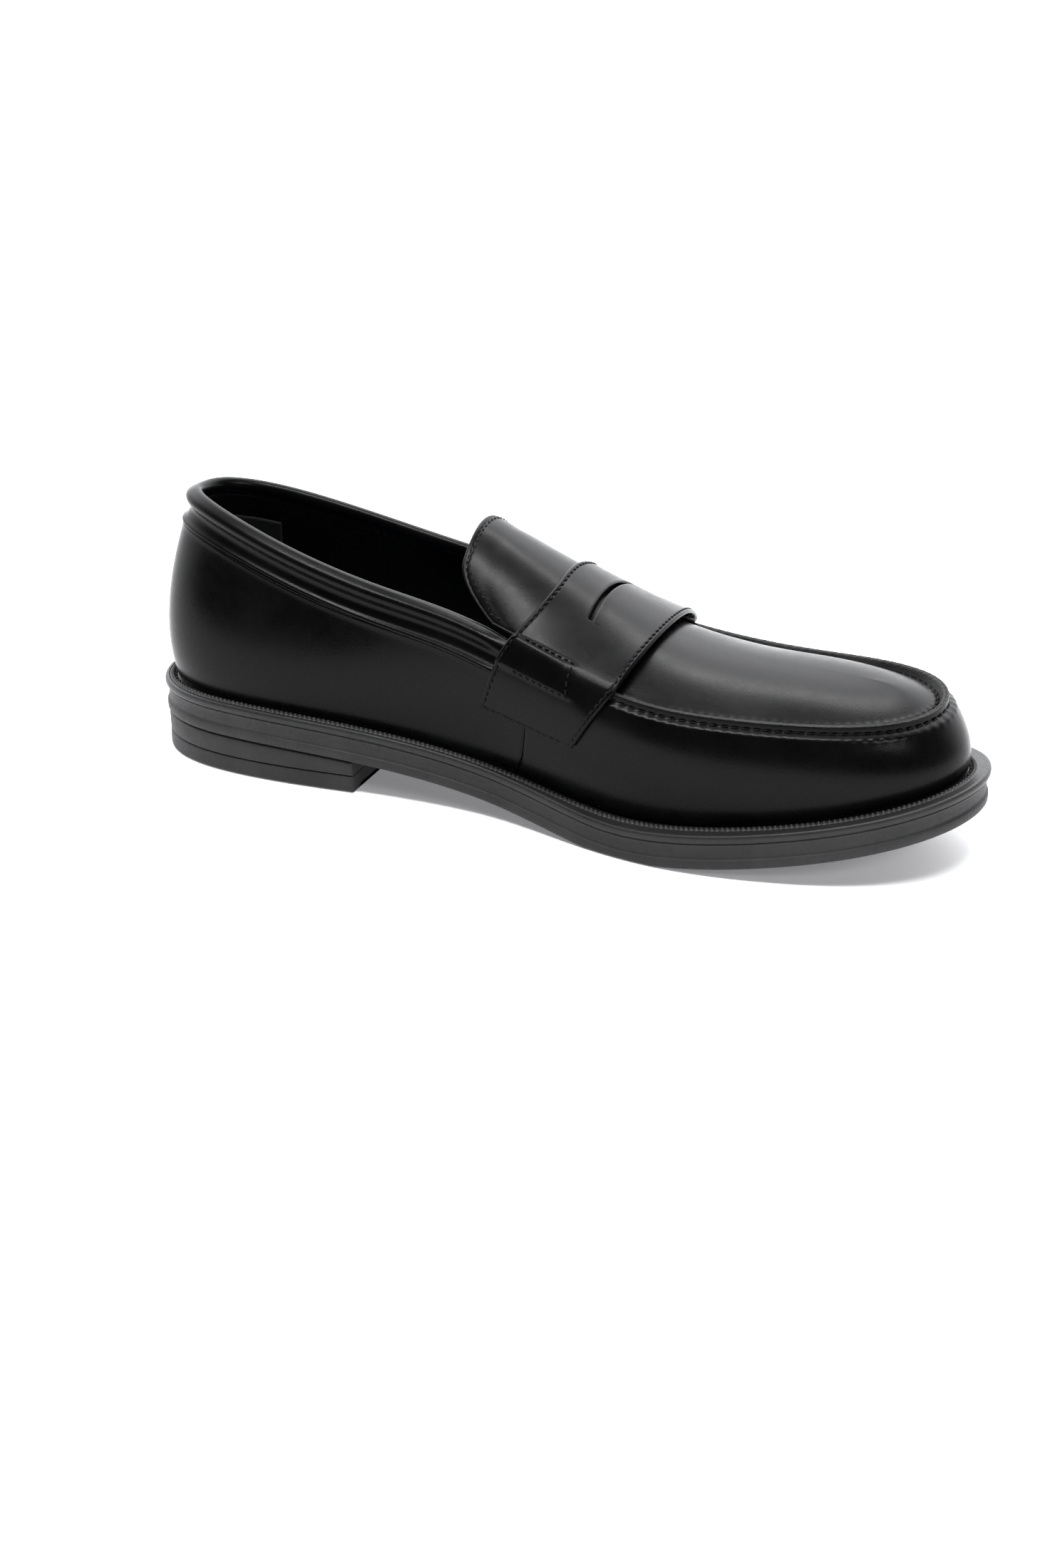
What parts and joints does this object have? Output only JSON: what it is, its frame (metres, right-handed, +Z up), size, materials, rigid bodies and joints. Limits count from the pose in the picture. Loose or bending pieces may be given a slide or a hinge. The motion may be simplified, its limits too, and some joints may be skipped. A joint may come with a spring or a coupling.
{
  "type": "penny loafer",
  "caption": "Black leather penny loafer for the left foot, with an apron toe, a slotted saddle strap, a tongue, a bound topline, and a rubber sole with a low heel.",
  "frame": {"origin": "centre of the shoe's bounding box, on the ground it stands on", "axes": "+X towards the toe, +Y to the wearer's left, which is this left shoe's outer side, +Z up"},
  "size_m": [0.2988, 0.107, 0.0934],
  "materials": {
    "black_leather": "smooth box calf with a semi-gloss polish",
    "lining_leather": "matt unpolished lining leather",
    "suede": "matt suede",
    "sock_leather": "dark navy smooth leather",
    "fibre_board": "pressed cellulose board",
    "foam": "latex foam",
    "cork": "granulated cork",
    "spring_steel": "plain steel",
    "welt_rubber": "satin moulded rubber",
    "sole_rubber": "matt moulded rubber"
  },
  "bodies": {
    "shoe": {"vamp": "black_leather", "apron": "black_leather", "saddle_strap": "black_leather", "quarter_lateral": "black_leather", "quarter_medial": "black_leather", "topline_binding": "black_leather", "vamp_lining": "lining_leather", "quarter_lining": "lining_leather", "heel_grip": "suede", "heel_counter": "fibre_board", "toe_puff": "fibre_board", "welt": "welt_rubber", "outsole": "sole_rubber", "insole_board": "fibre_board", "sock_liner": "sock_leather", "heel_pad": "foam", "shank": "spring_steel", "bottom_filler": "cork", "heel_block": "sole_rubber", "heel_top_piece": "sole_rubber", "heel_nail_1": "spring_steel", "heel_nail_2": "spring_steel", "heel_nail_3": "spring_steel", "heel_nail_4": "spring_steel", "heel_nail_5": "spring_steel"},
    "tongue_flap": {"tongue": "black_leather", "tongue_lining": "lining_leather"}
  },
  "joints": [
    {"name": "tongue_bend", "type": "hinge", "parent": "shoe", "child": "tongue_flap", "pos_m": [-0.00206, -0.00201, 0.08266], "axis": [0, 1, 0], "range_deg": [-5, 45]}
  ]
}
